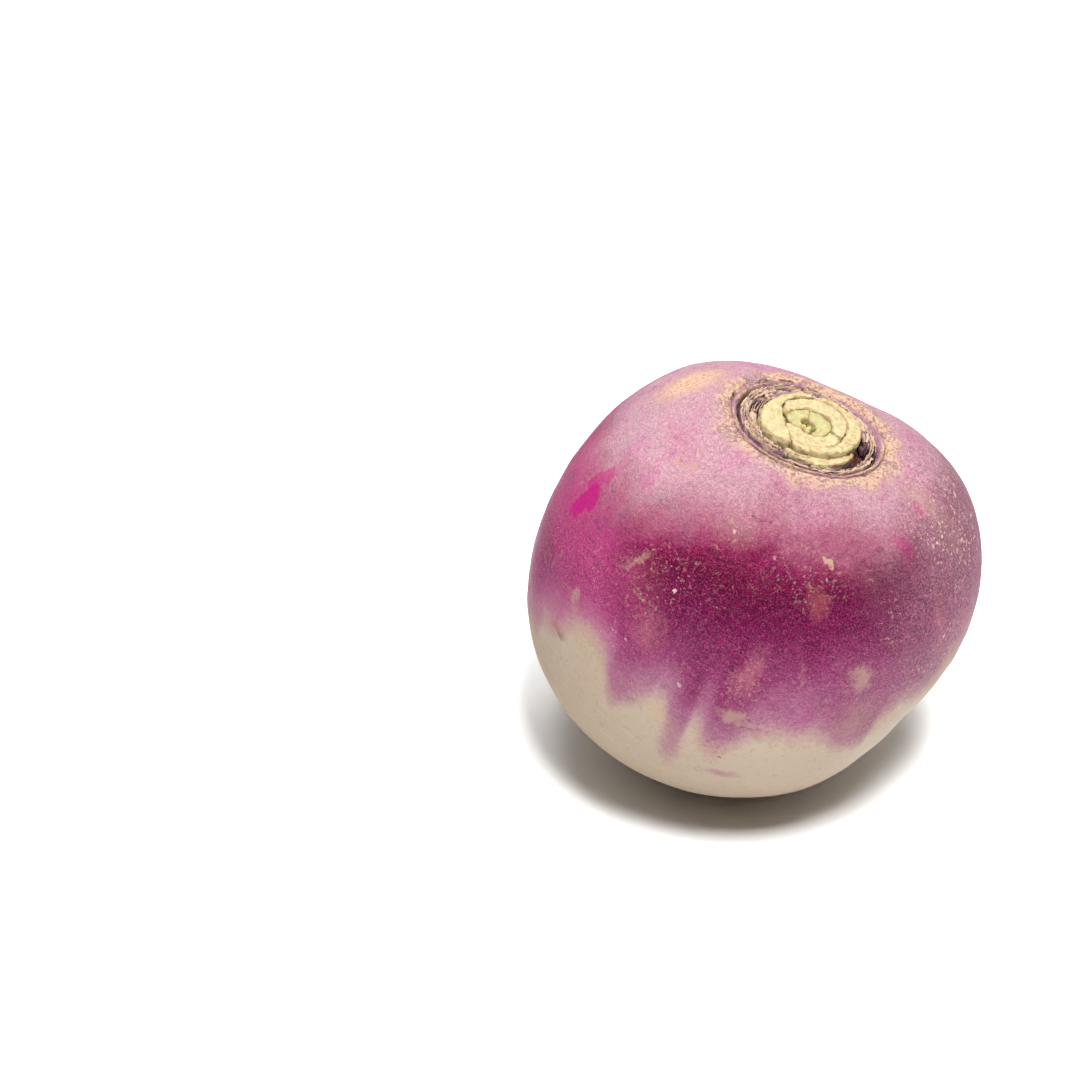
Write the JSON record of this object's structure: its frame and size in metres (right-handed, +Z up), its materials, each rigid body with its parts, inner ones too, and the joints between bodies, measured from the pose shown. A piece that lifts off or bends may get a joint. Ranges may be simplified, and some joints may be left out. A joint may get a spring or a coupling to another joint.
{
  "type": "turnip",
  "caption": "Purple-top turnip, a round root with a corky crown, trimmed leaf-stalk bases and a short cut taproot, lying on its base.",
  "frame": {"origin": "on the surface that the turnip rests on, under the centre of its bounding box", "axes": "+Z up out of that surface, the shortest of the three extents; -Y is the side that is seen from the front; the crown leans towards +X and a little towards -Y"},
  "size_m": [0.0896, 0.087, 0.0824],
  "materials": {
    "skin": "smooth waxy skin, purple above and cream below",
    "cut_stalk": "moist cut face, pale yellow",
    "heart_stalk": "moist cut face, grey green",
    "dry_leaf": "dry, papery, brown and mauve"
  },
  "bodies": {
    "root": {"root": "skin", "outer_stalk_left": "cut_stalk", "outer_stalk_right": "cut_stalk", "outer_stalk_front": "cut_stalk", "inner_stalk_upper": "cut_stalk", "inner_stalk_lower": "cut_stalk", "low_stalk_front": "cut_stalk", "heart_stalk_left": "heart_stalk", "heart_stalk_right": "heart_stalk", "dry_sheath_left": "dry_leaf", "dry_sheath_low": "dry_leaf", "dry_sheath_right": "dry_leaf", "dry_sheath_front": "dry_leaf", "dry_sheath_top": "dry_leaf"}
  },
  "joints": []
}
